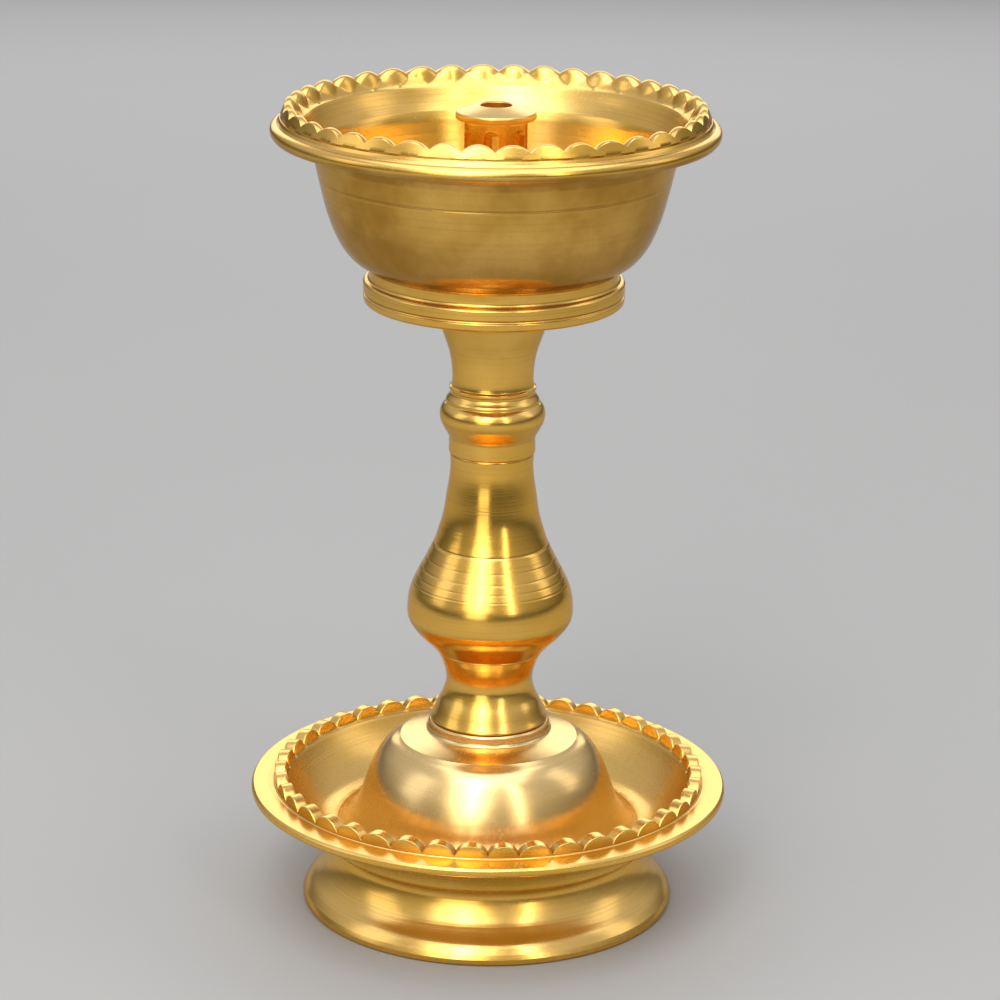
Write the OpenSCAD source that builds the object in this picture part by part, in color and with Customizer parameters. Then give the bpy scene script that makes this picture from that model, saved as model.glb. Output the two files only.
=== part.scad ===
// Standing brass oil lamp: a scalloped bowl with a loose wick holder, carried on
// a turned stem that stands on a domed, scalloped drip tray and a hollow foot.
// Millimetres, +Z up along the axis. The origin is the centre of the foot's base.

/* [Foot] */
// Outer radius of the foot's rim
foot_r = 40.7; // [39.5:0.1:44]
// Radius of the waist between the foot's rim and the tray
foot_waist_r = 33.5; // [32.5:0.1:35]

/* [Drip tray] */
// Outer radius of the tray's flat lip
tray_r = 52; // [50:0.5:56]
// Number of scallops round the tray
tray_scallops = 42; // [38:1:46]
// Depth of the notches between the tray's scallops
tray_notch = 2.4; // [1.8:0.1:2.4]

/* [Stem] */
// Radius of the vase-shaped belly
belly_r = 18; // [16:0.5:20]
// Radius of the bead under the neck
bead_r = 11.3; // [10.8:0.1:12.5]

/* [Bowl] */
// Outer radius of the bowl's rounded lip
bowl_r = 47.2; // [46:0.2:50]
// Number of scallops round the bowl
bowl_scallops = 40; // [36:1:44]
// Depth of the notches between the bowl's scallops
bowl_notch = 1.6; // [1.3:0.1:1.7]

/* [Wick holder] */
// Radius of the wick holder's coned cap
cap_r = 8.5; // [8:0.1:9.5]
// Radius of the hole for the wick
wick_hole_r = 3.3; // [2:0.1:4]
// Number of arched oil slots round the tube
oil_slots = 6; // [4:1:6]

/* [Screw] */
// Radius of the central rod
rod_r = 4; // [3:0.1:4]

/* [Hidden] */
$fn = 72;

// heights of the joints between the stacked pieces
z_foot_top = 15.2;     // underside of the tray's floor
z_floor = 17.2;        // top of the tray's floor
z_dome_top = 41.4;     // seat of the bell
z_vase = 57.6;         // seat of the vase
z_neck = 102;          // seat of the neck
z_stem_top = 134.5;    // top of the stem, under the washer
z_base = 135.3;        // underside of the bowl's base ring
z_bowl = 143.3;        // underside of the bowl's own floor
z_oil = 145.5;         // top of the bowl's floor
rod_hole_r = rod_r + 0.2;

tray_tip_z = 30;
tray_tip_r = 46.9 + (tray_r - 52) * 0.64;
bowl_tip_z = 177.6;
bowl_tip_r = 44.2 + (bowl_r - 47.2) * 0.87;

// smooth curve through the points P, n steps between each two
function cr(a, b, c, d, t) = 0.5 * (2*b + (c - a)*t + (2*a - 5*b + 4*c - d)*t*t + (3*b - a - 3*c + d)*t*t*t);
function smooth(P, n = 2) = concat(
    [for (i = [0:len(P)-2], k = [0:n-1])
        cr(P[max(i-1, 0)], P[i], P[i+1], P[min(i+2, len(P)-1)], k/n)],
    [P[len(P)-1]]);
// stretch radii beyond r0 so that r1 becomes r2
function st(P, r0, r1, r2) = [for (p = P) [p[0] > r0 ? r0 + (p[0] - r0) * (r2 - r0) / (r1 - r0) : p[0], p[1]]];

module rev(P) rotate_extrude($fn = 96) polygon(P);
module ring(ro, ri, z0, z1) rev([[ri, z0], [ro, z0], [ro, z1], [ri, z1]]);

// ring of radial half-round bumps, cut to the band's section; tilt lifts their inner ends
module scallops(n, r, z, depth, tilt, band, phase) {
    p = r * sin(180 / n);
    c = (p*p + depth*depth) / (2 * depth);
    intersection() {
        rev(band);
        union() for (i = [0:n-1]) rotate([0, 0, (i + phase) * 360 / n])
            translate([r, 0, z - c]) rotate([0, -90 + tilt, 0])
                translate([0, 0, -4]) cylinder(r = c, h = 12, $fn = 48);
    }
}

module foot_ring() {
    out = st(concat([[40.3, 0], [40.7, 0.4], [40.7, 1.4]],
        smooth([[40.3, 2.3], [39, 4], [37.2, 5.8], [35.5, 7.9], [34.2, 10.3], [33.5, 12.6], [33.9, 14.3]]),
        [[34.6, z_foot_top]]), 33.6, 40.7, foot_r);
    shift = foot_waist_r - 33.5;
    o2 = [for (p = out) p[0] < 34.7 && p[1] > 5 ? [p[0] + shift, p[1]] : p];
    color([0.78, 0.57, 0.2]) rev(concat(
        [[rod_hole_r, 13.4], [29.5, 13.4], [30.6, 12.4], [31, 9], [32, 6], [34, 3.2], [37.4, 1.2], [38, 0]],
        o2, [[rod_hole_r, z_foot_top]]));
}

module drip_tray() {
    color([0.8, 0.6, 0.22]) union() {
        rev(st(concat(
            [[rod_hole_r, z_foot_top], [36.4, z_foot_top]],
            smooth([[37, 15.8], [37.5, 18], [39.2, 20.8], [42.4, 23.2], [46.6, 24.9]]),
            [[51.6, 25.1], [52, 25.5], [52, 26.6], [51.6, 27.1], [47.3, 27.2], [47.05, 27.5],
             [43.9, 27.5]],
            smooth([[43.7, 27.2], [42, 24.4], [39.4, 21.2], [36.4, 18.5], [34.2, 17.4]]),
            [[33, z_floor], [rod_hole_r, z_floor]]), 38, 52, tray_r));
        scallops(tray_scallops, tray_tip_r, tray_tip_z, tray_notch, 5,
            [[tray_tip_r - 2.9, 27.3], [tray_tip_r + 0.05, 27.3], [tray_tip_r - 0.1, 32], [tray_tip_r - 2.5, 32]], 0.5);
    }
}

module base_dome() {
    color([0.82, 0.62, 0.24]) rev(concat(
        [[31.6, z_floor], [33.2, z_floor], [33.2, 17.5]],
        smooth([[31.2, 18.2], [29, 19.9], [27.7, 22.4], [27.1, 25], [26.6, 28], [25.6, 31.1], [23.8, 33.9], [21.6, 36], [19.6, 37.2]]),
        [[19.2, 37.55], [17, 37.95], [14.2, 38.3], [13.4, 38.7], [13.2, 39.2], [13.2, 41], [12.8, z_dome_top],
         [rod_hole_r, z_dome_top], [rod_hole_r, 35.6], [18.6, 35.2]],
        smooth([[20.4, 34.2], [22.8, 31.8], [24.4, 28.6], [25.2, 25], [26.2, 21], [28.6, 18.4]]),
        [[30.2, z_floor]]));
}

module stem_bell() {
    color([0.78, 0.56, 0.2]) rev(concat(
        [[rod_hole_r, z_dome_top], [12.5, z_dome_top], [12.9, 41.9]],
        smooth([[12.2, 43.2], [11.2, 45.4], [10.1, 47.6], [9.4, 50.2], [9.6, 52.8], [10.4, 55.2]]),
        [[11.5, z_vase - 0.3], [11.3, z_vase], [7, z_vase], [7, z_vase + 2], [rod_hole_r, z_vase + 2]]));
}

module stem_vase() {
    line = 0.18;
    color([0.76, 0.56, 0.21]) rev(st(concat(
        [[7.1, z_vase], [11.6, z_vase], [12.1, z_vase + 0.4]],
        smooth([[13.6, 59.6], [16, 62], [17.6, 64.4], [18, 66.6], [17.7, 70], [16.9, 72.6]]),
        [[16.7 - line, 73], [16.6, 73.4], [15.2, 76.1], [15 - line, 76.4], [14.8, 76.8]],
        smooth([[13.7, 79], [12.6, 81.3]]),
        [[12.5 - line, 81.6], [12.3, 81.9]],
        smooth([[11.4, 84.6], [10.4, 88.2], [9.7, 92.6], [9.1, 96.6], [8.9, 99.4], [9, 101.6]]),
        [[8.9, z_neck], [6.4, z_neck], [6.4, z_neck + 2], [rod_hole_r, z_neck + 2],
         [rod_hole_r, z_vase + 2.1], [7.1, z_vase + 2.1]]), 9.2, 18, belly_r));
}

module stem_neck() {
    color([0.77, 0.57, 0.2]) rev(concat(
        [[6.5, z_neck], [9.1, z_neck], [9.3, z_neck + 0.4], [9.25, 105.4]],
        st(concat(smooth([[9.5, 106.1], [10.3, 107.5], [11.1, 109.2], [11.3, 110.7], [11, 112], [10.3, 113]]),
            [[9.95, 113.3], [9.95, 113.9], [9.7, 114.3]]), 9.5, 11.3, bead_r),
        smooth([[9.3, 114.8], [9.05, 115.3], [9.1, 115.8]]),
        [[9.3, 116.1], [9.3, 116.6], [8.8, 117]],
        smooth([[8.65, 118.2], [8.75, 120.4], [9.1, 123], [9.7, 125.4], [10.8, 128.6], [11.8, 131.6], [12.9, 133.9]]),
        [[13, z_stem_top], [rod_hole_r, z_stem_top], [rod_hole_r, z_neck + 2.1], [6.5, z_neck + 2.1]]));
}

module tie_rod() {
    color([0.7, 0.52, 0.22]) rev([[0, 4], [rod_r - 0.7, 4], [rod_r, 4.7], [rod_r, 141.6], [rod_r - 0.7, 142.3], [0, 142.3]]);
}

module base_washer() {
    color([0.74, 0.56, 0.25]) ring(10, rod_hole_r, 11.9, 13.4);
}

module base_nut() {
    color([0.72, 0.53, 0.2]) difference() {
        intersection() {
            translate([0, 0, 5.4]) cylinder(r = 7.5, h = 6.5, $fn = 6);
            rev([[0, 5.4], [6.5, 5.4], [7.6, 6.1], [7.6, 11.2], [6.5, 11.9], [0, 11.9]]);
        }
        translate([0, 0, 5]) cylinder(r = rod_r + 0.05, h = 8);
    }
}

module bowl_washer() {
    color([0.62, 0.42, 0.24]) ring(12, rod_hole_r, z_stem_top, z_base);
}

module bowl_base() {
    color([0.76, 0.55, 0.19]) rev(concat(
        [[rod_r + 0.05, z_base], [14, z_base], [14.6, z_base + 0.6], [15.4, 138.4], [24.2, 138.4], [25.2, z_base + 0.4], [25.8, z_base]],
        [[27.2, z_base], [27.6, z_base + 0.4], [27.7, 137], [27.35, 137.3], [27.7, 137.6], [27.7, 139.6], [27.3, 140.1],
         [26.7, 140.3], [26.5, 141.4], [26.7, 142.8], [27.2, z_bowl], [rod_r + 0.05, z_bowl]]));
}

module bowl() {
    color([0.8, 0.6, 0.22]) union() {
        rev(st(concat(
            [[0, z_bowl], [27.2, z_bowl]],
            smooth([[28.1, 143.7], [30.3, 145.3], [32.4, 147.9], [34, 151.1], [35.4, 155], [36.4, 158.8], [37.2, 162.2]]),
            [[37.15, 162.5], [37.35, 162.8], [38.3, 167]],
            smooth([[38.7, 168.2], [39.6, 169.3], [41.2, 169.9]]),
            [[45.4, 170.2], [46.5, 170.5], [47.05, 171.2], [47.2, 172], [46.95, 172.8], [46.3, 173.4], [45.8, 173.5],
             [45.4, 174], [45.05, 174.9], [44.7, 175.7], [43.2, 175.6], [42.2, 175.1], [41, 174.3]],
            smooth([[40.1, 173.4], [38.5, 170.8], [37.1, 168.8]]),
            smooth([[36.5, 167.2], [35.5, 163], [34.2, 158.2], [32.3, 153], [30, 149.2], [27.2, 147], [23.8, 145.8]]),
            [[21, z_oil], [5, z_oil], [5, z_oil + 2], [4.4, z_oil + 2.5], [0, z_oil + 2.5]]), 28, 47.2, bowl_r));
        scallops(bowl_scallops, bowl_tip_r, bowl_tip_z, bowl_notch, -15,
            [[bowl_tip_r - 3.2, 174], [bowl_tip_r + 0.8, 175], [bowl_tip_r - 0.3, 178], [bowl_tip_r - 0.9, 178],
             [bowl_tip_r - 1.6, 177.2], [bowl_tip_r - 2.5, 175.9]], 0);
    }
}

module wick_tube() {
    z0 = z_oil; z1 = 174.4; w = 3.4;
    color([0.74, 0.53, 0.18]) difference() {
        ring(6.6, 5.2, z0, z1);
        for (i = [0:oil_slots-1]) rotate([0, 0, -98.5 + i * 360 / oil_slots]) {
            translate([0, -w/2, z0 + 5]) cube([9, w, z1 - z0 - 8.4]);
            for (z = [z0 + 5, z1 - 3.4]) translate([0, 0, z]) rotate([0, 90, 0]) cylinder(r = w/2, h = 9, $fn = 32);
        }
    }
}

module wick_cap() {
    color([0.84, 0.64, 0.28]) rev([[wick_hole_r, 171.4], [4.7, 171.4], [5.1, 171.8], [5.1, 174.4], [cap_r - 0.2, 174.4],
        [cap_r, 174.6], [cap_r, 175.6], [cap_r - 0.2, 175.9], [wick_hole_r + 0.5, 177.3], [wick_hole_r, 177.1]]);
}

foot_ring();
drip_tray();
base_dome();
stem_bell();
stem_vase();
stem_neck();
tie_rod();
base_washer();
base_nut();
bowl_washer();
bowl_base();
bowl();
wick_tube();
wick_cap();
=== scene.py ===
import math
import random

import bpy
import numpy as np
from mathutils import Matrix, Vector


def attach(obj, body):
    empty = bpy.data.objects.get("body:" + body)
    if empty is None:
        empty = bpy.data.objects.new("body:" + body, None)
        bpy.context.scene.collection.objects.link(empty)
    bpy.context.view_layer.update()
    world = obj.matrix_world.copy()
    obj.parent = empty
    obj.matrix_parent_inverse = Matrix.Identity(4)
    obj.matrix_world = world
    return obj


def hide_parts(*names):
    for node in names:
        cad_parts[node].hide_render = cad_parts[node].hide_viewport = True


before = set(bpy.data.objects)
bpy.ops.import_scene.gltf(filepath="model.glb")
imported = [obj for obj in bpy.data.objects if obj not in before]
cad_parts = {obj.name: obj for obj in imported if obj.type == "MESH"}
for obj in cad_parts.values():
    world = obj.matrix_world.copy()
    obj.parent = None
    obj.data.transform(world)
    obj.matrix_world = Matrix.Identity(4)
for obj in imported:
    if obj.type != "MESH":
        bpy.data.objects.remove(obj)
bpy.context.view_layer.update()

scene = bpy.context.scene
MM = 0.001
RND = random.Random(11)


# ------------------------------------------------------------------ profiles
# All profiles are (radius, height) in millimetres, turned about the Z axis.

def _cr(a, b, c, d, t):
    return 0.5 * (2 * b + (c - a) * t + (2 * a - 5 * b + 4 * c - d) * t * t + (3 * b - a - 3 * c + d) * t ** 3)


def smooth(P, n=7):
    """A smooth curve through the points P, n steps between each two."""
    P = [np.array(p, float) for p in P]
    out = []
    for i in range(len(P) - 1):
        for k in range(n):
            out.append(_cr(P[max(i - 1, 0)], P[i], P[i + 1], P[min(i + 2, len(P) - 1)], k / n))
    out.append(P[-1])
    return [tuple(p) for p in out]


def grooves(P, cuts):
    """Turned lines cut into a rising profile. Each cut is (height, depth, half width); a negative depth is a raised bead."""
    zs = [p[1] for p in P]
    rs = [p[0] for p in P]
    keep = [p for p in P if all(abs(p[1] - z) > w * 1.15 for z, d, w in cuts)]
    for z, d, w in cuts:
        for f, k in ((-1, 0), (-0.55, 0.45), (-0.2, 0.95), (0.2, 0.95), (0.55, 0.45), (1, 0)):
            zz = z + f * w
            keep.append((float(np.interp(zz, zs, rs)) - d * k, zz))
    return sorted(keep, key=lambda p: p[1])


def fillet(P, rad=0.22, steps=3, limit=16):
    """Rounds every corner of a closed profile, so that edges catch the light as a turned edge does."""
    n = len(P)
    out = []
    for i in range(n):
        b = np.array(P[i], float)
        a = np.array(P[i - 1], float)
        c = np.array(P[(i + 1) % n], float)
        if b[0] < 1e-6:
            out.append(tuple(b))
            continue
        u, v = a - b, c - b
        lu, lv = np.linalg.norm(u), np.linalg.norm(v)
        if lu < 1e-6 or lv < 1e-6:
            continue
        u, v = u / lu, v / lv
        turn = math.degrees(math.acos(max(-1, min(1, -float(u @ v)))))
        if turn < limit:
            out.append(tuple(b))
            continue
        t = min(rad * math.tan(math.radians(min(turn, 150)) / 2), 0.42 * lu, 0.42 * lv)
        p, q = b + u * t, b + v * t
        for k in range(steps + 1):
            s = k / steps
            out.append(tuple(p * (1 - s) ** 2 + b * 2 * s * (1 - s) + q * s * s))
    return out


def area(P):
    return 0.5 * sum(P[i][0] * P[(i + 1) % len(P)][1] - P[(i + 1) % len(P)][0] * P[i][1] for i in range(len(P)))


# ------------------------------------------------------------------ meshes

def finish_mesh(name, verts, faces, mat, body, nodes, angle=38):
    me = bpy.data.meshes.new(name)
    me.from_pydata(verts, [], faces)
    me.validate()
    me.shade_smooth()
    me.set_sharp_from_angle(angle=math.radians(angle))
    me.materials.append(mat)
    ob = bpy.data.objects.new(name, me)
    scene.collection.objects.link(ob)
    wn = ob.modifiers.new("even_normals", "WEIGHTED_NORMAL")
    wn.mode = "FACE_AREA"
    wn.weight = 50
    wn.keep_sharp = True
    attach(ob, body)
    if nodes:
        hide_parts(*nodes)
    return ob


def grid_faces(m, n, closed, first_pole, last_pole):
    """Quads between m rings of n points. The rings of a closed profile meet; a pole is one point on the axis."""
    faces = []
    idx = []
    k = 0
    for i in range(m):
        if (i == 0 and first_pole) or (i == m - 1 and last_pole):
            idx.append(("p", k))
            k += 1
        else:
            idx.append(("r", k))
            k += n
    pairs = [(i, i + 1) for i in range(m - 1)] + ([(m - 1, 0)] if closed else [])
    for a, b in pairs:
        (ta, ka), (tb, kb) = idx[a], idx[b]
        if ta == "p" and tb == "p":
            continue
        for j in range(n):
            j2 = (j + 1) % n
            if ta == "p":
                faces.append((ka, kb + j2, kb + j))
            elif tb == "p":
                faces.append((ka + j, ka + j2, kb))
            else:
                faces.append((ka + j, ka + j2, kb + j2, kb + j))
    return faces


def lathe(name, P, mat, body, nodes, seg=288, rad=0.22, limit=16, angle=38):
    if area(P) < 0:
        P = P[::-1]
    # a profile that touches the axis starts and ends there
    on = [i for i, p in enumerate(P) if p[0] < 1e-6]
    if on:
        k = next(i for i in on if P[i - 1][0] < 1e-6) if len(on) > 1 else on[0]
        P = P[k:] + P[:k]
    P = fillet(P, rad, 3, limit)
    th = np.arange(seg) * 2 * math.pi / seg
    cos, sin = np.cos(th), np.sin(th)
    verts = []
    for r, z in P:
        if r < 1e-6:
            verts.append((0.0, 0.0, z * MM))
        else:
            verts.extend(np.stack([r * cos, r * sin, np.full(seg, z)], 1).dot(MM).tolist())
    faces = grid_faces(len(P), seg, not on, bool(on) and P[0][0] < 1e-6, bool(on) and P[-1][0] < 1e-6)
    return finish_mesh(name, verts, faces, mat, body, nodes, angle)


def scallop_rows(n, r, z0, depth, tilt, phase, per, seed, wander):
    """Angles round the rim, and a function for the height of the hand-cut, half-round bumps at a radius."""
    rnd = random.Random(seed)
    p = r * math.sin(math.pi / n)
    c = (p * p + depth * depth) / (2 * depth)
    t = math.radians(tilt)
    step = 2 * math.pi / n
    cusps = [(i + phase + 0.5) * step + rnd.gauss(0, 1) * wander * step for i in range(n)]
    low = [rnd.gauss(0, 1) * 0.07 for i in range(n)]
    th, dth, drop = [], [], []
    for i in range(n):
        a, b = cusps[i], cusps[(i + 1) % n] + (2 * math.pi if i == n - 1 else 0)
        for k in range(per):
            s = k / per
            # closer samples by the notch
            s = 0.5 - 0.5 * math.cos(math.pi * s) if per < 8 else 0.35 * (0.5 - 0.5 * math.cos(math.pi * s)) + 0.65 * s
            th.append(a + (b - a) * s)
            dth.append((s - 0.5) * step)
            drop.append(max(0.0, low[i] * (1 - (2 * s - 1) ** 2)))
    th, dth, drop = np.array(th), np.array(dth), np.array(drop)

    def top(R):
        x, y = R * np.cos(dth), R * np.sin(dth)
        h = np.sqrt(np.maximum(c * c - y * y, 0.01))
        return z0 - c + (r - x) * math.tan(t) + h / math.cos(t) - drop

    return th, top


def rim_lathe(name, low, rows, high, th, mat, body, nodes, rad=0.22):
    """A turned shape whose rim is scalloped. low and high are profiles with the rim between them; rows are (radius, height per angle)."""
    n = len(th)
    cos, sin = np.cos(th), np.sin(th)
    A = fillet(low, rad, 3)
    B = fillet(high, rad, 3)
    verts = []
    m = 0
    first = last = False
    for part in (A, rows, B):
        for r, z in part:
            if np.isscalar(r) and r < 1e-6:
                verts.append((0.0, 0.0, float(z) * MM))
                if m == 0:
                    first = True
                else:
                    last = True
            else:
                r = np.broadcast_to(r, (n,))
                z = np.broadcast_to(z, (n,))
                verts.extend(np.stack([r * cos, r * sin, z], 1).dot(MM).tolist())
            m += 1
    faces = grid_faces(m, n, not first, first, last)
    return finish_mesh(name, verts, faces, mat, body, nodes, 34)


# ------------------------------------------------------------------ materials

class Tree:
    def __init__(self, mat):
        mat.use_nodes = True
        self.nt = mat.node_tree
        self.nt.nodes.clear()

    def node(self, kind, **kw):
        nd = self.nt.nodes.new(kind)
        for k, v in kw.items():
            setattr(nd, k, v)
        return nd

    def link(self, a, b):
        self.nt.links.new(a, b)

    def value(self, sock, x):
        if hasattr(x, "is_linked") or isinstance(x, bpy.types.NodeSocket):
            self.link(x, sock)
        else:
            sock.default_value = x

    def math(self, op, a, b=0.0, c=0.0, clamp=False):
        nd = self.node("ShaderNodeMath", operation=op, use_clamp=clamp)
        self.value(nd.inputs[0], a)
        self.value(nd.inputs[1], b)
        if op in ("MULTIPLY_ADD", "SMOOTH_MIN", "COMPARE"):
            self.value(nd.inputs[2], c)
        return nd.outputs[0]

    def mix(self, f, a, b, kind="MIX"):
        nd = self.node("ShaderNodeMix", data_type="RGBA", blend_type=kind)
        self.value(nd.inputs[0], f)
        self.value(nd.inputs[6], a)
        self.value(nd.inputs[7], b)
        return nd.outputs[2]

    def ramp(self, fac, stops, interp="LINEAR"):
        nd = self.node("ShaderNodeValToRGB")
        nd.color_ramp.interpolation = interp
        el = nd.color_ramp.elements
        while len(el) < len(stops):
            el.new(0.5)
        for e, (pos, col) in zip(el, stops):
            e.position = pos
            e.color = col if len(col) == 4 else (*col, 1)
        self.link(fac, nd.inputs[0])
        return nd.outputs[0]

    def map(self, x, a, b, c, d):
        nd = self.node("ShaderNodeMapRange")
        self.link(x, nd.inputs[0])
        for i, v in enumerate((a, b, c, d)):
            nd.inputs[i + 1].default_value = v
        return nd.outputs[0]

    def noise(self, vec, scale, detail=2.0, rough=0.5, dims="3D", w=0.0):
        nd = self.node("ShaderNodeTexNoise", noise_dimensions=dims)
        self.link(vec, nd.inputs["Vector"])
        nd.inputs["Scale"].default_value = scale
        nd.inputs["Detail"].default_value = detail
        nd.inputs["Roughness"].default_value = rough
        return nd.outputs["Fac"]

    def combine(self, x, y, z):
        nd = self.node("ShaderNodeCombineXYZ")
        self.value(nd.inputs[0], x)
        self.value(nd.inputs[1], y)
        self.value(nd.inputs[2], z)
        return nd.outputs[0]


def brass(name, tint=1.0, up=(0.96, 0.61, 0.18), side=(0.92, 0.515, 0.07), down=(0.70, 0.38, 0.03), deep=(0.42, 0.22, 0.02),
          rough=0.2, lines=1.0, aniso=0.45, tarnish_and_recess_shade=0.35, cast=0.0, crev=5.0, seed=0.0, relief=0.5):
    """Turned and buffed brass. The colour carries painted light and shade: faces that look up are painted pale, faces
    that look down are painted a deeper, browner gold.
    lines: strength of the lathe marks; cast: share of rough sand-cast skin; crev: reach of the painted shade in
    recesses, in mm."""
    mat = bpy.data.materials.new(name)
    t = Tree(mat)
    out = t.node("ShaderNodeOutputMaterial")
    bs = t.node("ShaderNodeBsdfPrincipled")
    t.link(bs.outputs[0], out.inputs[0])
    tc = t.node("ShaderNodeTexCoord")
    co = tc.outputs["Object"]
    sep = t.node("ShaderNodeSeparateXYZ")
    t.link(co, sep.inputs[0])
    x, y, z = sep.outputs[0], sep.outputs[1], sep.outputs[2]
    nsep = t.node("ShaderNodeSeparateXYZ")
    t.link(tc.outputs["Normal"], nsep.inputs[0])
    nz = nsep.outputs[2]
    r = t.math("SQRT", t.math("ADD", t.math("MULTIPLY", x, x), t.math("MULTIPLY", y, y)))
    # rings: the same all the way round, but for a very slow wander
    ring = t.combine(t.math("MULTIPLY_ADD", x, 0.002, r), t.math("MULTIPLY", y, 0.002), t.math("ADD", z, seed * 0.013))
    fine = t.noise(ring, 5200.0, 2.0, 0.6)
    mid = t.noise(ring, 1500.0, 2.0, 0.55)
    wide = t.noise(ring, 420.0, 1.0, 0.5)
    # fine scratches from wiping and polishing, across the rings
    ang = t.math("ARCTAN2", y, x)
    scr_v = t.combine(t.math("MULTIPLY", ang, 0.9), t.math("MULTIPLY", r, 14.0), t.math("MULTIPLY", z, 20.0))
    scratch = t.noise(scr_v, 60.0, 4.0, 0.75)
    # soft clouds: handling and tarnish
    off = t.node("ShaderNodeMapping")
    off.inputs["Location"].default_value = (seed * 0.37, seed * 0.11, seed * 0.23)
    t.link(co, off.inputs[0])
    cloud = t.noise(off.outputs[0], 48.0, 4.0, 0.58)
    spots = t.noise(off.outputs[0], 420.0, 3.0, 0.6)
    # ambient occlusion finds the recesses; further down it darkens their colour as painted shade and makes them rougher
    ao = t.node("ShaderNodeAmbientOcclusion", samples=6, inside=False, only_local=False)
    ao.inputs["Distance"].default_value = crev * MM
    closed = t.map(ao.outputs["AO"], 0.25, 0.95, 1.0, 0.0)
    # colour
    k = tint
    up, side, down, deep = (tuple(c * k for c in q) for q in (up, side, down, deep))
    # painted light and shade: the colour runs from deeper gold where a face looks down to pale where it looks up, with
    # some random tone from the clouds
    tone_and_painted_facing_light = t.math("MULTIPLY_ADD", t.math("SUBTRACT", cloud, 0.5), 0.5, nz)
    c0 = t.ramp(t.map(tone_and_painted_facing_light, -1.0, 1.0, 0.0, 1.0), [(0.33, down), (0.47, side), (0.64, side), (0.86, up)])
    c1 = t.mix(t.math("MULTIPLY", t.map(cloud, 0.42, 0.68, 0.0, 1.0), 0.35), c0, (*up, 1))
    c2 = t.mix(t.math("MULTIPLY", t.map(mid, 0.52, 0.72, 0.0, 1.0), 0.25 * lines), c1, (*deep, 1))
    soil = t.math("MULTIPLY", t.map(spots, 0.58, 0.78, 0.0, 1.0), tarnish_and_recess_shade * 0.4)
    c3 = t.mix(soil, c2, (*deep, 1))
    # painted shade: recesses found by ambient occlusion are darkened towards the deep colour
    painted_recess_shade = t.math("MULTIPLY", t.math("POWER", closed, 1.6), tarnish_and_recess_shade, clamp=True)
    c4 = t.mix(painted_recess_shade, c3, (deep[0] * 0.8, deep[1] * 0.75, deep[2] * 0.7, 1))
    if cast > 0:
        c4 = t.mix(t.math("MULTIPLY", t.map(spots, 0.35, 0.7, 0.2, 1.0), cast), c4, (0.42, 0.27, 0.10, 1))
    t.link(c4, bs.inputs["Base Color"])
    bs.inputs["Metallic"].default_value = 1.0
    # roughness
    ro = t.math("MULTIPLY_ADD", t.math("SUBTRACT", cloud, 0.5), 0.16, rough)
    ro = t.math("MULTIPLY_ADD", t.math("SUBTRACT", mid, 0.5), 0.14 * lines, ro)
    ro = t.math("MULTIPLY_ADD", t.map(scratch, 0.56, 0.74, 0.0, 1.0), 0.07, ro)
    ro = t.math("MULTIPLY_ADD", closed, 0.10, ro)
    if cast > 0:
        ro = t.math("MULTIPLY_ADD", spots, 0.35 * cast, ro)
    t.link(t.math("MINIMUM", t.math("MAXIMUM", ro, 0.06), 0.75), bs.inputs["Roughness"])
    bs.inputs["Anisotropic"].default_value = aniso
    bs.inputs["Specular Tint"].default_value = (0.80, 0.66, 0.42, 1)
    # a thin clear lacquer
    bs.inputs["Coat Weight"].default_value = 0.45
    bs.inputs["Coat Roughness"].default_value = 0.18
    bs.inputs["Coat IOR"].default_value = 1.5
    tan = t.node("ShaderNodeTangent", direction_type="RADIAL", axis="Z")
    t.link(tan.outputs[0], bs.inputs["Tangent"])
    # relief: turning marks, scratches and a slight waviness from the casting
    h = t.math("MULTIPLY", t.math("SUBTRACT", fine, 0.5), 0.10)
    h = t.math("MULTIPLY_ADD", t.math("SUBTRACT", mid, 0.5), 0.30, h)
    h = t.math("MULTIPLY_ADD", t.math("SUBTRACT", wide, 0.5), 0.55, h)
    h = t.math("MULTIPLY", h, lines)
    h = t.math("MULTIPLY_ADD", t.math("SUBTRACT", scratch, 0.5), 0.10, h)
    h = t.math("MULTIPLY_ADD", t.math("SUBTRACT", cloud, 0.5), 0.6, h)
    if cast > 0:
        h = t.math("MULTIPLY_ADD", spots, 3.0 * cast, h)
    bump = t.node("ShaderNodeBump")
    bump.inputs["Strength"].default_value = relief
    bump.inputs["Distance"].default_value = 0.00008
    t.link(h, bump.inputs["Height"])
    t.link(bump.outputs[0], bs.inputs["Normal"])
    return mat


# the up, side and down colours given below are painted light and shade by facing: pale on top, deeper gold underneath
M_foot = brass("foot_brass", rough=0.20, lines=0.8, aniso=0.45, tarnish_and_recess_shade=0.3, crev=6, seed=1)
M_tray = brass("tray_brass", relief=0.35, rough=0.27, lines=0.9, aniso=0.4, tarnish_and_recess_shade=0.3, crev=3, seed=2)
M_dome = brass("dome_brass", up=(0.96, 0.68, 0.30), side=(0.94, 0.60, 0.19), relief=0.22, rough=0.23, lines=0.5, aniso=0.4, tarnish_and_recess_shade=0.25, crev=4, seed=3)
M_stem = brass("stem_brass", rough=0.19, lines=1.0, aniso=0.6, tarnish_and_recess_shade=0.3, crev=3.5, seed=4)
M_bowl = brass("bowl_brass", side=(0.86, 0.48, 0.06), down=(0.42, 0.20, 0.012), rough=0.22, lines=0.9, aniso=0.5, tarnish_and_recess_shade=0.25, crev=4, seed=5)
M_base = brass("bowl_base_brass", rough=0.2, lines=1.0, aniso=0.5, tarnish_and_recess_shade=0.4, crev=2.5, seed=6)
M_rod = brass("rod_brass", 0.9, rough=0.3, lines=0.4, aniso=0.0, tarnish_and_recess_shade=0.6, crev=1.0, seed=7)
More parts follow.
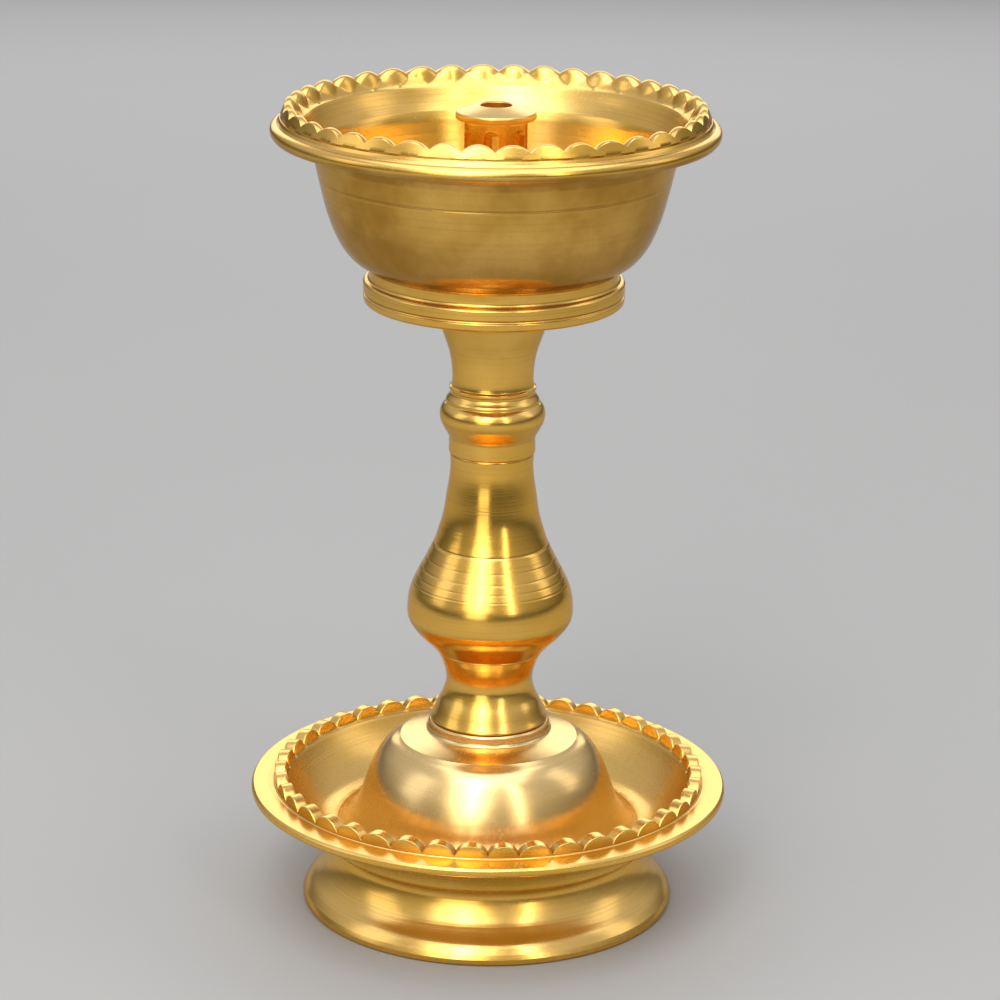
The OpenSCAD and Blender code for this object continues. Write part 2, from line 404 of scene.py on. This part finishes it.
M_hard = brass("hardware_brass", 0.9, rough=0.28, lines=0.8, aniso=0.0, tarnish_and_recess_shade=0.5, crev=2, seed=8)
M_wash = brass("washer_brass", 0.8, side=(0.80, 0.42, 0.09), rough=0.32, lines=0.8, aniso=0.3, tarnish_and_recess_shade=0.5, crev=1.5, seed=9)
M_wick = brass("wick_brass", rough=0.24, lines=0.9, aniso=0.4, tarnish_and_recess_shade=0.3, crev=3, seed=10)
M_cap = brass("wick_cap_brass", up=(0.93, 0.68, 0.30), rough=0.32, lines=1.2, aniso=0.2, tarnish_and_recess_shade=0.25, crev=2, seed=12)

# ------------------------------------------------------------------ heights of the joints
ZF, ZT, ZD, ZV, ZN, ZS, ZB, ZW, ZO = 15.2, 17.2, 41.4, 57.6, 102.0, 134.5, 135.3, 143.3, 145.5
HOLE = 4.2

# ------------------------------------------------------------------ foot
foot_out = [(40.3, 0), (40.7, 0.4), (40.7, 1.4)] + smooth([(40.3, 2.3), (39, 4), (37.2, 5.8), (35.5, 7.9), (34.2, 10.3), (33.5, 12.6), (33.9, 14.3)]) + [(34.6, ZF)]
lathe("foot_ring_turned",
      [(HOLE, 13.4), (29.5, 13.4)] + smooth([(30.4, 12.6), (30.9, 11), (31.2, 8.6), (32, 6), (34, 3.2), (36.6, 1.5)])
      + [(37.4, 1.0), (38, 0)] + foot_out + [(HOLE, ZF)],
      M_foot, "stand", ["foot_ring"], seg=320, rad=0.3)

# ------------------------------------------------------------------ drip tray
th_t, top_t = scallop_rows(42, 46.9, 30.0, 2.4, 5.0, 0.0, 12, 21, 0.022)
low_t = ([(HOLE, ZF), (36.4, ZF)] + smooth([(37, 15.8), (37.5, 18), (39.2, 20.8), (42.4, 23.2), (46.6, 24.9)])
         + [(51.5, 25.05), (51.95, 25.4), (52, 25.8), (51.95, 26.5), (51.5, 27.0), (49.5, 27.1), (47.5, 27.12), (47.15, 27.2), (46.98, 27.45)])
To = 46.9
rows_t = [(46.93, np.full(len(th_t), 27.52))]
for f in (0.35, 0.7):
    rows_t.append((To, 27.5 + (top_t(To) - 27.5) * f))
rows_t += [(To - 0.02, top_t(To - 0.02) - 0.10), (To - 0.10, top_t(To - 0.10) - 0.03)]
for R in (46.5, 46.0, 45.5, 45.0, 44.75):
    rows_t.append((R, top_t(R)))
rows_t += [(44.52, top_t(44.52) - 0.04), (44.42, top_t(44.42) - 0.14)]
for f in (0.6, 0.2):
    rows_t.append((44.3 - 0.2 * (1 - f), 27.5 + (top_t(44.3) - 27.5) * f))
high_t = ([(44.0, 27.45)] + smooth([(43.6, 27.0), (42, 24.4), (39.4, 21.2), (36.4, 18.5), (34.2, 17.4)])
          + [(33, ZT), (HOLE, ZT)])
rim_lathe("drip_tray_turned", low_t, rows_t, high_t, th_t, M_tray, "stand", ["drip_tray"])

# ------------------------------------------------------------------ dome
dome_out = smooth([(32.6, 17.7), (31.3, 18.4), (29.6, 20.2), (28.4, 22.4), (27.5, 25), (26.5, 28), (25.2, 31.1), (23.5, 33.9), (21.5, 36), (19.8, 37.1), (19.3, 37.45)])
lathe("base_dome_turned",
      [(31.6, ZT), (33.2, ZT), (33.2, 17.5)] + dome_out
      + [(19.0, 37.55), (17, 38.1), (14.8, 38.65)] + smooth([(14, 38.85), (13.55, 39.1), (13.25, 39.6), (13.2, 40.2), (13.2, 41)], 3) + [(12.8, ZD),
         (HOLE, ZD), (HOLE, 35.6), (18.6, 35.2)]
      + smooth([(20.4, 34.2), (22.8, 31.8), (24.4, 28.6), (25.2, 25), (26.2, 21), (28.6, 18.4)]) + [(30.2, ZT)],
      M_dome, "stand", ["base_dome"], seg=320)

# ------------------------------------------------------------------ stem
bell_out = smooth([(12.6, 42.4), (12.2, 43.2), (11.2, 45.4), (10.1, 47.6), (9.4, 50.2), (9.6, 52.8), (10.4, 55.2), (11.2, 56.8)])
lathe("stem_bell_turned",
      [(HOLE, ZD), (12.5, ZD), (12.9, 41.9)] + bell_out
      + [(11.5, ZV - 0.3), (11.3, ZV), (7, ZV), (7, ZV + 2), (HOLE, ZV + 2)],
      M_stem, "stand", ["stem_bell"], seg=256)

vase_out = smooth([(12.1, 58), (13.6, 59.6), (16, 62), (17.6, 64.4), (18, 66.6), (17.7, 70), (16.9, 72.6), (16.55, 73.4), (15.2, 76.1),
                   (14.8, 76.8), (13.7, 79), (12.6, 81.3), (12.3, 81.9), (11.4, 84.6), (10.4, 88.2), (9.7, 92.6), (9.1, 96.6), (8.9, 99.4), (9, 101.6)])
vase_out = grooves(vase_out, [(73.0, 0.05, 0.28), (74.6, 0.03, 0.25), (76.4, 0.06, 0.28), (78.6, 0.03, 0.25), (81.6, 0.06, 0.28)])
lathe("stem_vase_turned",
      [(7.1, ZV), (11.6, ZV), (11.9, ZV + 0.15)] + vase_out
      + [(8.9, ZN), (6.4, ZN), (6.4, ZN + 2), (HOLE, ZN + 2), (HOLE, ZV + 2.1), (7.1, ZV + 2.1)],
      M_stem, "stand", ["stem_vase"], seg=288, limit=24)

lathe("stem_neck_turned",
      [(6.5, ZN), (9.1, ZN), (9.3, ZN + 0.4), (9.25, 105.4)]
      + smooth([(9.5, 106.1), (10.3, 107.5), (11.1, 109.2), (11.3, 110.7), (11, 112), (10.3, 113)])
      + [(9.95, 113.3), (9.95, 113.9), (9.7, 114.3)] + smooth([(9.3, 114.8), (9.05, 115.3), (9.1, 115.8)])
      + [(9.3, 116.1), (9.3, 116.6), (8.8, 117)]
      + smooth([(8.65, 118.2), (8.75, 120.4), (9.1, 123), (9.7, 125.4), (10.8, 128.6), (11.8, 131.6), (12.9, 133.9)])
      + [(13, ZS), (HOLE, ZS), (HOLE, ZN + 2.1), (6.5, ZN + 2.1)],
      M_stem, "stand", ["stem_neck"], seg=256)


# ------------------------------------------------------------------ threaded rod
def thread_radius(z, th, z0, z1, pitch=1.25, major=4.0, minor=3.32):
    """Radius of a right-hand screw thread that fades out at z0 and z1."""
    s = (z - pitch * th / (2 * math.pi)) / pitch
    f = np.abs((s % 1.0) - 0.5) * 2            # 0 at a crest, 1 at a root
    depth = np.clip((f - 0.14) / 0.74, 0, 1) * (major - minor)
    fade = np.clip((z - z0) / 1.2, 0, 1) * np.clip((z1 - z) / 1.2, 0, 1)
    return major - depth * fade


def build_rod():
    seg = 72
    th = np.arange(seg) * 2 * math.pi / seg
    cos, sin = np.cos(th), np.sin(th)
    zs = list(np.arange(4.9, 24.0, 0.16)) + [24.5, 40, 60, 80, 100, 114.5] + list(np.arange(115.0, 141.5, 0.16))
    verts = [(0, 0, 4 * MM)]
    rings = [(1.6, 4.0), (2.9, 4.0), (3.25, 4.12)]
    rings2 = [(3.25, 142.18), (2.9, 142.3), (1.6, 142.3)]
    for r, z in rings:
        verts.extend(np.stack([r * cos, r * sin, np.full(seg, z)], 1).dot(MM).tolist())
    for z in zs:
        a = thread_radius(z, th, 3.0, 23.8)
        b = thread_radius(z, th, 115.4, 143.5)
        r = np.minimum(np.minimum(a, b), 4.0)
        r = np.minimum(r, 3.3 + max(0.0, z - 4.2) * 0.75)
        r = np.minimum(r, 3.3 + max(0.0, 142.1 - z) * 0.75)
        verts.extend(np.stack([r * cos, r * sin, np.full(seg, z)], 1).dot(MM).tolist())
    for r, z in rings2:
        verts.extend(np.stack([r * cos, r * sin, np.full(seg, z)], 1).dot(MM).tolist())
    verts.append((0, 0, 142.3 * MM))
    m = 2 + len(rings) + len(zs) + len(rings2)
    faces = grid_faces(m, seg, False, True, True)
    return finish_mesh("tie_rod_threaded", verts, faces, M_rod, "stand", ["tie_rod"], 30)


build_rod()

lathe("base_washer_turned", [(HOLE, 11.9), (10, 11.9), (10, 13.4), (HOLE, 13.4)], M_hard, "stand", ["base_washer"], seg=160, rad=0.3)


def build_nut():
    """A hexagon nut with chamfered corners."""
    per = 16
    seg = 6 * per
    th = np.array([(i + k / per) * math.pi / 3 for i in range(6) for k in range(per)])
    flat = 7.5 * math.cos(math.pi / 6)
    local = (th % (math.pi / 3)) - math.pi / 6
    hexr = np.minimum(flat / np.cos(local), 7.46)
    cos, sin = np.cos(th), np.sin(th)
    one = np.ones(seg)
    z0, z1, rc = 5.4, 11.9, 6.3
    lift = (hexr - rc) * 0.5
    rows = [(4.05 * one, (z0 + 0.45) * one), (4.6 * one, z0 * one), (5.5 * one, z0 * one), (rc * one, z0 * one),
            (rc + (hexr - rc) * 0.5, z0 + lift * 0.45), (hexr - 0.05, z0 + lift), (hexr, z0 + lift + 0.12),
            (hexr, (z0 + z1) / 2 * one), (hexr, z1 - lift - 0.12), (hexr - 0.05, z1 - lift),
            (rc + (hexr - rc) * 0.5, z1 - lift * 0.45), (rc * one, z1 * one), (5.5 * one, z1 * one), (4.6 * one, z1 * one), (4.05 * one, (z1 - 0.45) * one)]
    verts = []
    for r, z in rows:
        verts.extend(np.stack([r * cos, r * sin, z], 1).dot(MM).tolist())
    faces = grid_faces(len(rows), seg, True, False, False)
    return finish_mesh("base_nut_hex", verts, faces, M_hard, "stand", ["base_nut"], 24)


build_nut()

# ------------------------------------------------------------------ washer under the bowl
lathe("bowl_washer_turned", [(HOLE, ZS), (12, ZS), (12, ZB), (HOLE, ZB)], M_wash, "washer", ["bowl_washer"], seg=200, rad=0.2)

# ------------------------------------------------------------------ bowl base ring
lathe("bowl_base_turned",
      [(4.05, ZB), (14, ZB), (14.6, ZB + 0.6), (15.4, 138.4), (24.2, 138.4), (25.2, ZB + 0.4), (25.8, ZB),
       (27.2, ZB), (27.6, ZB + 0.4), (27.7, 136.9), (27.4, 137.15), (27.32, 137.35), (27.42, 137.55), (27.7, 137.7), (27.7, 139.6), (27.3, 140.1),
       (26.8, 140.25), (26.5, 140.7), (26.45, 141.4), (26.7, 142.8), (27.2, ZW), (4.05, ZW)],
      M_base, "oil_bowl", ["bowl_base"], seg=320, rad=0.25)

# ------------------------------------------------------------------ bowl
def rim_angles(n, phase, per, seed, wander):
    """Angles round a rim with n hand-cut bumps; for each angle, the place across its bump (-1 to 1) and how much lower that bump is."""
    rnd = random.Random(seed)
    step = 2 * math.pi / n
    cusps = [(i + phase + 0.5) * step + rnd.gauss(0, 1) * wander * step for i in range(n)]
    low = [abs(rnd.gauss(0, 1)) * 0.06 for _ in range(n)]
    th, u, drop = [], [], []
    for i in range(n):
        a, b = cusps[i], cusps[(i + 1) % n] + (2 * math.pi if i == n - 1 else 0)
        for k in range(per):
            q = k / per
            q = 0.35 * (0.5 - 0.5 * math.cos(math.pi * q)) + 0.65 * q
            th.append(a + (b - a) * q)
            u.append(2 * q - 1)
            drop.append(low[i])
    return np.array(th), np.array(u), np.array(drop)


th_b, u_b, drop_b = rim_angles(40, -0.5, 16, 33, 0.022)


def curve(pairs):
    xs = [p[0] for p in pairs][::-1]
    ys = [p[1] for p in pairs][::-1]
    return lambda R: np.interp(R, xs, ys)


# radius falls along each list: the crest of a bump, the floor between bumps, and how much of the pitch a bump takes
crest_b = curve(smooth([(44.7, 177.3), (44.05, 177.5), (43.7, 177.63), (43.3, 177.67), (42.9, 177.58), (42.5, 177.3), (42.1, 176.75), (41.7, 176.0), (41.3, 175.15), (40.95, 174.4)], 4))
floor_b = curve(smooth([(44.9, 176.12), (43.6, 176.1), (42.9, 175.98), (42.2, 175.6), (41.6, 175.0), (41.0, 174.3), (40.5, 173.8)], 4))
width_b = curve([(45, 1.0), (42.9, 1.0), (42.4, 0.93), (42.0, 0.8), (41.6, 0.6), (41.2, 0.36), (40.95, 0.15)])


def bump_b(R):
    f, c, w = floor_b(R), crest_b(R) - drop_b, width_b(R)
    return f + np.maximum(0.0, c - f) * np.maximum(0.0, 1 - np.abs(u_b / w) ** 2.15)


def cone_b(z):
    """The rim's outer face leans inwards."""
    return 45.05 - 0.4 * (z - 174.9)


wall = smooth([(28.1, 143.7), (30.3, 145.3), (32.4, 147.9), (34, 151.1), (35.4, 155), (36.4, 158.8), (37.2, 162.2), (37.75, 164.6), (38.3, 167)])
wall = grooves(wall, [(162.5, 0.09, 0.34)])
low_b = ([(0, ZW), (27.2, ZW)] + wall
         + smooth([(38.7, 168.2), (39.6, 169.3), (41.2, 169.9)], 5)
         + [(43.4, 170.05), (45.4, 170.2)]
         + smooth([(46.5, 170.5), (47.05, 171.2), (47.2, 172), (46.95, 172.8), (46.3, 173.35), (45.8, 173.5)], 4)
         + [(45.4, 174.0), (45.1, 174.75)])
edge = bump_b(44.3)
rows_b = []
for f in (0.08, 0.4, 0.72, 0.93, 0.985):
    zz = 174.9 + (edge - 174.9) * f
    rows_b.append((cone_b(zz), zz))
R_edge = cone_b(edge)
rows_b.append((R_edge - 0.035, edge))
for f in (0.06, 0.25, 0.5, 0.75, 1.0):
    R = (R_edge - 0.035) + (43.0 - R_edge) * f
    rows_b.append((R, bump_b(R)))
for R in (42.75, 42.5, 42.25, 42.0, 41.75, 41.5, 41.25, 41.0, 40.8):
    rows_b.append((R, bump_b(R)))
high_b = (smooth([(40.5, 173.85), (40.1, 173.4), (38.5, 170.8), (37.1, 168.8)]) + [(36.75, 168.0)]
          + smooth([(36.5, 167.2), (35.5, 163), (34.2, 158.2), (32.3, 153), (30, 149.2), (27.2, 147), (23.8, 145.8)])
          + [(21, ZO), (12, ZO), (5, ZO), (5, ZO + 2), (4.4, ZO + 2.5), (0, ZO + 2.5)])
rim_lathe("bowl_turned", low_b, rows_b, high_b, th_b, M_bowl, "oil_bowl", ["bowl"])


# ------------------------------------------------------------------ wick tube
def build_tube():
    """A tube with six tall arched slots; each sixth is a net of quads drawn round its slot."""
    ro, ri, z0, z1, w, n = 6.6, 5.2, ZO, 174.4, 3.4, 6
    lo, hi = z0 + 5, z1 - 3.4
    half = math.pi / n
    N, rings = 72, 5
    hw = w / 2
    verts, faces, index = [], [], {}

    def vid(r, a, z):
        key = (round(r, 4), round((a % (2 * math.pi)) * 1e4) % 62832, round(z, 4))
        if key not in index:
            index[key] = len(verts)
            verts.append((r * math.cos(a) * MM, r * math.sin(a) * MM, z * MM))
        return index[key]

    # the slot's outline as (width, height), anticlockwise from the right
    arch = []
    k = N // 4
    for i in range(k):
        arch.append((hw, lo + (hi - lo) * i / k))
    for i in range(k):
        t = math.pi * i / k
        arch.append((hw * math.cos(t), hi + hw * math.sin(t)))
    for i in range(k):
        arch.append((-hw, hi - (hi - lo) * i / k))
    for i in range(k):
        t = math.pi + math.pi * i / k
        arch.append((hw * math.cos(t), lo + hw * math.sin(t)))
    # the sector's outline, matched to it point by point
    rect = []
    for i in range(k):
        rect.append((1, lo - 2.2 + (hi + 1.6 - lo + 2.2) * i / k))
    rect_top, rect_bot = hi + 1.6, lo - 2.2
    top_n = k
    edge = 4
    for i in range(k):
        if i < edge:
            rect.append((1, rect_top + (z1 - 0.25 - rect_top) * i / edge))
        elif i <= k - edge:
            rect.append((1 - 2 * (i - edge) / (k - 2 * edge), z1 - 0.25))
        else:
            rect.append((-1, z1 - 0.25 - (z1 - 0.25 - rect_top) * (i - (k - edge)) / edge))
    for i in range(k):
        rect.append((-1, rect_top - (rect_top - rect_bot) * i / k))
    for i in range(k):
        if i < edge:
            rect.append((-1, rect_bot - (rect_bot - z0 - 0.25) * i / edge))
        elif i <= k - edge:
            rect.append((-1 + 2 * (i - edge) / (k - 2 * edge), z0 + 0.25))
        else:
            rect.append((1, z0 + 0.25 + (rect_bot - z0 - 0.25) * (i - (k - edge)) / edge))
    for s in range(n):
        c = math.radians(-98.5) + s * 2 * math.pi / n
        net = {}
        for r in (ro, ri):
            for q in range(rings + 1):
                f = q / rings
                f = f ** 1.3
                row = []
                for (u, v), (g, h) in zip(arch, rect):
                    a_in = math.asin(u / r)
                    a_out = g * half
                    row.append(vid(r, c + a_in * (1 - f) + a_out * f, v * (1 - f) + h * f))
                net[(r, q)] = row
        for q in range(rings):
            a, b = net[(ro, q)], net[(ro, q + 1)]
            d, e = net[(ri, q)], net[(ri, q + 1)]
            for i in range(N):
                j = (i + 1) % N
                faces.append((a[i], b[i], b[j], a[j]))
                faces.append((d[j], e[j], e[i], d[i]))
        a, d = net[(ro, 0)], net[(ri, 0)]
        for i in range(N):
            j = (i + 1) % N
            faces.append((a[j], d[j], d[i], a[i]))
        # the top and bottom edges, slightly rounded
        for (za, zb, up) in ((z1 - 0.25, z1, True), (z0 + 0.25, z0, False)):
            pts = [i for i in range(N) if abs(rect[i][1] - za) < 1e-6]
            pts.sort(key=lambda i: rect[i][0])
            for i, j in zip(pts[:-1], pts[1:]):
                a1, a2 = c + rect[i][0] * half, c + rect[j][0] * half
                prof = [(ro, za), (ro - 0.07, za + (zb - za) * 0.7), (ro - 0.25, zb), (ri + 0.25, zb), (ri + 0.07, za + (zb - za) * 0.7), (ri, za)]
                for (r1, q1), (r2, q2) in zip(prof[:-1], prof[1:]):
                    f4 = (vid(r1, a1, q1), vid(r1, a2, q1), vid(r2, a2, q2), vid(r2, a1, q2))
                    faces.append(f4 if up else f4[::-1])
    clean = []
    for f in faces:
        g = [v for i, v in enumerate(f) if v != f[i - 1]]
        if len(set(g)) >= 3:
            clean.append(tuple(g))
    ob = finish_mesh("wick_tube_slotted", verts, clean, M_wick, "wick_holder", ["wick_tube"], 30)
    bv = ob.modifiers.new("soft_edges", "BEVEL")
    bv.width = 0.00012
    bv.segments = 2
    bv.limit_method = "ANGLE"
    bv.angle_limit = math.radians(50)
    ob.modifiers.move(1, 0)
    return ob


build_tube()

lathe("wick_cap_turned",
      [(3.3, 171.4), (4.7, 171.4), (5.1, 171.8), (5.1, 174.4), (8.3, 174.4), (8.5, 174.6), (8.5, 175.6), (8.3, 175.9),
       (6.2, 176.55), (3.8, 177.3), (3.3, 177.1)],
      M_cap, "wick_holder", ["wick_cap"], seg=200, rad=0.16)

# ------------------------------------------------------------------ floor
def floor():
    seg, rings = 96, [0.0, 0.3, 0.7, 1.5, 3.0, 6.0]
    verts = [(0, 0, 0)]
    for r in rings[1:]:
        for j in range(seg):
            a = 2 * math.pi * j / seg
            verts.append((r * math.cos(a), r * math.sin(a), 0))
    faces = [(0, 1 + j, 1 + (j + 1) % seg) for j in range(seg)]
    for i in range(len(rings) - 2):
        a, b = 1 + i * seg, 1 + (i + 1) * seg
        for j in range(seg):
            k = (j + 1) % seg
            faces.append((a + j, b + j, b + k, a + k))
    me = bpy.data.meshes.new("floor")
    me.from_pydata(verts, [], faces)
    ob = bpy.data.objects.new("floor", me)
    scene.collection.objects.link(ob)
    mat = bpy.data.materials.new("floor_paper")
    t = Tree(mat)
    out = t.node("ShaderNodeOutputMaterial")
    bs = t.node("ShaderNodeBsdfPrincipled")
    t.link(bs.outputs[0], out.inputs[0])
    co = t.node("ShaderNodeTexCoord").outputs["Object"]
    n1 = t.noise(co, 3.0, 3.0, 0.5)
    t.link(t.mix(n1, (0.41, 0.41, 0.413, 1), (0.435, 0.435, 0.435, 1)), bs.inputs["Base Color"])
    bs.inputs["Roughness"].default_value = 0.7
    bs.inputs["Specular IOR Level"].default_value = 0.25
    me.materials.append(mat)
    ob.location.z = -0.00002


floor()

# ------------------------------------------------------------------ lights
world = bpy.data.worlds.new("studio")
scene.world = world
world.use_nodes = True
nt = world.node_tree
nt.nodes.clear()
wo = nt.nodes.new("ShaderNodeOutputWorld")
bg = nt.nodes.new("ShaderNodeBackground")
tc = nt.nodes.new("ShaderNodeTexCoord")
sp = nt.nodes.new("ShaderNodeSeparateXYZ")
rp = nt.nodes.new("ShaderNodeValToRGB")
mr = nt.nodes.new("ShaderNodeMapRange")
mr.inputs[1].default_value = -1.0
mr.inputs[2].default_value = 1.0
nt.links.new(tc.outputs["Generated"], sp.inputs[0])
nt.links.new(sp.outputs[2], mr.inputs[0])
nt.links.new(mr.outputs[0], rp.inputs[0])
el = rp.color_ramp.elements
for _ in range(3):
    el.new(0.5)
for e, (pos, v) in zip(el, ((0.0, (0.08, 0.08, 0.08)), (0.50, (0.10, 0.10, 0.10)), (0.57, (0.26, 0.26, 0.26)), (0.70, (0.50, 0.50, 0.50)), (1.0, (0.56, 0.56, 0.56)))):
    e.position = pos
    e.color = (*v, 1)
nt.links.new(rp.outputs[0], bg.inputs[0])
bg.inputs[1].default_value = 1.0
nt.links.new(bg.outputs[0], wo.inputs[0])


def lamp(name, azimuth, elevation, dist, wide, high, radiance, color=(1, 1, 1), aim=(0, 0, 0.09)):
    """A soft box seen from the lamp at an azimuth from the front (positive to the right) and an elevation, in degrees."""
    a, e = math.radians(azimuth), math.radians(elevation)
    loc = Vector(aim) + dist * Vector((math.sin(a) * math.cos(e), -math.cos(a) * math.cos(e), math.sin(e)))
    d = bpy.data.lights.new(name, "AREA")
    d.shape = "RECTANGLE"
    d.size, d.size_y = wide, high
    d.energy = radiance * math.pi * wide * high
    d.color = color
    o = bpy.data.objects.new(name, d)
    scene.collection.objects.link(o)
    o.location = loc
    o.rotation_euler = (Vector(aim) - loc).to_track_quat("-Z", "Y").to_euler()
    return o


WARM, COOL = (1.0, 0.98, 0.95), (0.96, 0.98, 1.0)
lamp("overhead", 0, 84, 0.78, 0.90, 0.70, 1.3)
lamp("window", -19, 40, 0.95, 0.66, 0.85, 1.7, WARM)
lamp("window_low", -19, 8, 1.00, 0.46, 0.34, 1.6, WARM)
lamp("window_bright", -16, 40, 0.90, 0.16, 0.80, 3.5, WARM)
lamp("strip_right", 31, 32, 0.95, 0.10, 0.85, 4.5, WARM)
lamp("panel_left", -80, 25, 1.0, 0.40, 0.60, 0.8, COOL)
lamp("panel_right", 95, 30, 1.0, 0.30, 0.60, 0.7, WARM)
lamp("panel_back", 180, 22, 1.2, 1.2, 0.72, 1.5)

# ------------------------------------------------------------------ camera
cam_d = bpy.data.cameras.new("camera")
cam_d.sensor_width = 36.0
cam_d.lens = 132.35
cam_d.clip_start = 0.01
cam_d.clip_end = 50
cam = bpy.data.objects.new("camera", cam_d)
scene.collection.objects.link(cam)
cam.matrix_world = (Matrix.Translation((0.00184, -0.75556, 0.3252))
                    @ Matrix.Rotation(math.radians(90 - 17.22), 4, "X")
                    @ Matrix.Rotation(math.radians(0.746), 4, "Z"))
scene.camera = cam
scene.view_settings.view_transform = "Standard"
scene.view_settings.look = "None"
